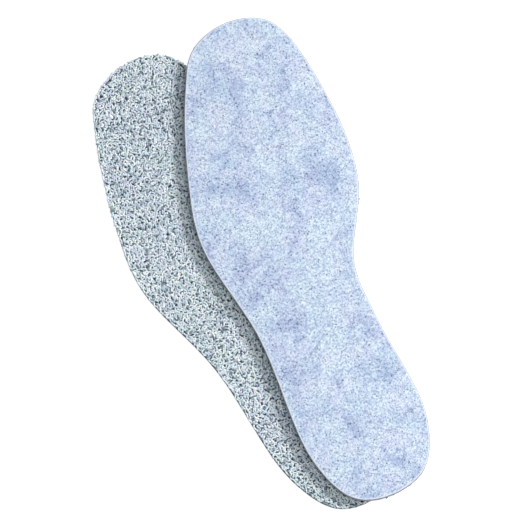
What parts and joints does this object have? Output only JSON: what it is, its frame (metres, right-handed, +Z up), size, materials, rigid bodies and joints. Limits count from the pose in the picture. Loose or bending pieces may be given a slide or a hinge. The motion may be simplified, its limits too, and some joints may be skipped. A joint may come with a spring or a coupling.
{
  "type": "cushioned insole pair",
  "caption": "Laminated cushioned insoles for left and right shoe, felt base, foam core and looped terry cover; the felt-up insole rests across its terry-up mate and lifts off it.",
  "frame": {"origin": "middle of the pair's footprint, on the ground that the left insole's felt face lies on", "axes": "+Y along the left insole towards its toes, +Z up from the left insole's felt face to its terry face, +X towards the left insole's inner side, where the right insole lies"},
  "size_m": [0.1376, 0.2736, 0.0113],
  "materials": {
    "felt": "pale blue needled felt, soft darker clouds, fine specks and loose fibres",
    "adhesive": "thin translucent hot-melt web",
    "foam": "matte grey open-cell latex foam with a die-cut edge",
    "terry": "grey-white looped pile with dark gaps between the loops"
  },
  "bodies": {
    "left_insole": {"left_felt_base": "felt", "left_base_adhesive": "adhesive", "left_foam_cushion": "foam", "left_cover_adhesive": "adhesive", "left_terry_cover": "terry"},
    "right_insole": {"right_terry_cover": "terry", "right_cover_adhesive": "adhesive", "right_foam_cushion": "foam", "right_base_adhesive": "adhesive", "right_felt_base": "felt"}
  },
  "joints": [
    {"name": "right_insole_lift", "type": "slide", "parent": "left_insole", "child": "right_insole", "axis": [0, 0, 1], "range_m": [0, 0.1]}
  ]
}
